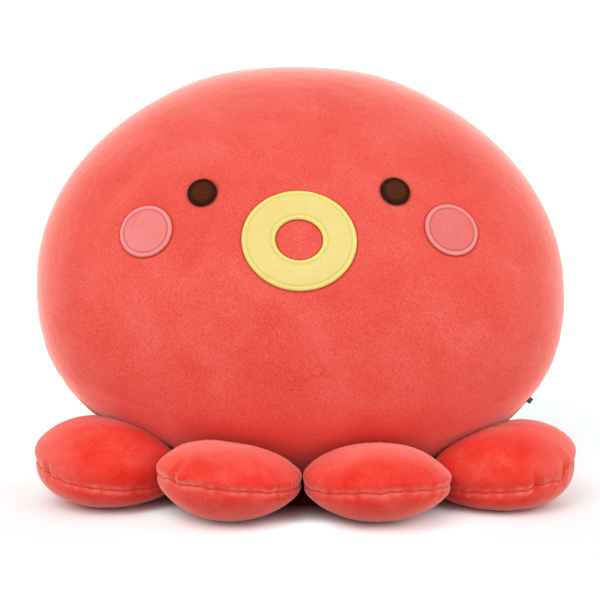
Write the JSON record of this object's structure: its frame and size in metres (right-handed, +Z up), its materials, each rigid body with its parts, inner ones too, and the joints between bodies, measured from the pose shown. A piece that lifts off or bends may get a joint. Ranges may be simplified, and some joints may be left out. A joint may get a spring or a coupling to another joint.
{
  "type": "plush octopus cushion",
  "caption": "Stuffed octopus cushion with a rounded leaning body, a sewn-on face with a ring mouth, and stuffed feet all round that it stands on.",
  "frame": {"origin": "centre of the box round the part, on the floor that the feet rest on", "axes": "+Z up, +X to the right of the picture, -Y the way the face looks"},
  "size_m": [0.339, 0.2907, 0.2651],
  "materials": {
    "coral_pile": "short soft pile with a pale sheen",
    "white_filling": "loose fibre",
    "brown_pile": "short pile",
    "brown_satin": "satin stitched thread",
    "pink_pile": "short pile",
    "pink_satin": "satin stitched thread",
    "yellow_pile": "short pile",
    "yellow_satin": "satin stitched thread",
    "grey_ribbon": "woven ribbon"
  },
  "bodies": {
    "body": {"body_front_panel": "coral_pile", "body_back_panel": "coral_pile", "body_filling": "white_filling", "left_eye_patch": "brown_pile", "left_eye_border": "brown_satin", "right_eye_patch": "brown_pile", "right_eye_border": "brown_satin", "left_cheek_patch": "pink_pile", "left_cheek_border": "pink_satin", "right_cheek_patch": "pink_pile", "right_cheek_border": "pink_satin", "mouth_ring_patch": "yellow_pile", "mouth_outer_border": "yellow_satin", "mouth_inner_border": "yellow_satin", "care_label": "grey_ribbon"},
    "front_left_foot": {"front_left_foot_top_panel": "coral_pile", "front_left_foot_bottom_panel": "coral_pile", "front_left_foot_filling": "white_filling"},
    "front_right_foot": {"front_right_foot_top_panel": "coral_pile", "front_right_foot_bottom_panel": "coral_pile", "front_right_foot_filling": "white_filling"},
    "front_side_left_foot": {"front_side_left_foot_top_panel": "coral_pile", "front_side_left_foot_bottom_panel": "coral_pile", "front_side_left_foot_filling": "white_filling"},
    "front_side_right_foot": {"front_side_right_foot_top_panel": "coral_pile", "front_side_right_foot_bottom_panel": "coral_pile", "front_side_right_foot_filling": "white_filling"},
    "rear_side_left_foot": {"rear_side_left_foot_top_panel": "coral_pile", "rear_side_left_foot_bottom_panel": "coral_pile", "rear_side_left_foot_filling": "white_filling"},
    "rear_side_right_foot": {"rear_side_right_foot_top_panel": "coral_pile", "rear_side_right_foot_bottom_panel": "coral_pile", "rear_side_right_foot_filling": "white_filling"},
    "rear_left_foot": {"rear_left_foot_top_panel": "coral_pile", "rear_left_foot_bottom_panel": "coral_pile", "rear_left_foot_filling": "white_filling"},
    "rear_right_foot": {"rear_right_foot_top_panel": "coral_pile", "rear_right_foot_bottom_panel": "coral_pile", "rear_right_foot_filling": "white_filling"}
  },
  "joints": [
    {"name": "front_left_foot_droop", "type": "hinge", "parent": "body", "child": "front_left_foot", "pos_m": [-0.03421, -0.05368, 0.00566], "axis": [0.9763, -0.2164, 0], "range_deg": [0, 20], "stiffness_Nm_per_rad": 0.05},
    {"name": "front_right_foot_droop", "type": "hinge", "parent": "body", "child": "front_right_foot", "pos_m": [0.03421, -0.05368, 0.00566], "axis": [0.9763, 0.2164, 0], "range_deg": [0, 20], "stiffness_Nm_per_rad": 0.05},
    {"name": "front_side_left_foot_droop", "type": "hinge", "parent": "body", "child": "front_side_left_foot", "pos_m": [-0.08958, -0.0241, 0.00895], "axis": [0.7071, -0.7071, 0], "range_deg": [0, 20], "stiffness_Nm_per_rad": 0.05},
    {"name": "front_side_right_foot_droop", "type": "hinge", "parent": "body", "child": "front_side_right_foot", "pos_m": [0.08958, -0.0241, 0.00895], "axis": [0.7071, 0.7071, 0], "range_deg": [0, 20], "stiffness_Nm_per_rad": 0.05},
    {"name": "rear_side_left_foot_droop", "type": "hinge", "parent": "body", "child": "rear_side_left_foot", "pos_m": [-0.05422, 0.01024, 0.0104], "axis": [-0.3746, -0.9272, 0], "range_deg": [0, 20], "stiffness_Nm_per_rad": 0.05},
    {"name": "rear_side_right_foot_droop", "type": "hinge", "parent": "body", "child": "rear_side_right_foot", "pos_m": [0.05422, 0.01024, 0.0104], "axis": [-0.3746, 0.9272, 0], "range_deg": [0, 20], "stiffness_Nm_per_rad": 0.05},
    {"name": "rear_left_foot_droop", "type": "hinge", "parent": "body", "child": "rear_left_foot", "pos_m": [-0.0305, 0.04471, 0.03927], "axis": [-0.9763, -0.2164, 0], "range_deg": [0, 20], "stiffness_Nm_per_rad": 0.05},
    {"name": "rear_right_foot_droop", "type": "hinge", "parent": "body", "child": "rear_right_foot", "pos_m": [0.0305, 0.04471, 0.03927], "axis": [-0.9763, 0.2164, 0], "range_deg": [0, 20], "stiffness_Nm_per_rad": 0.05}
  ]
}
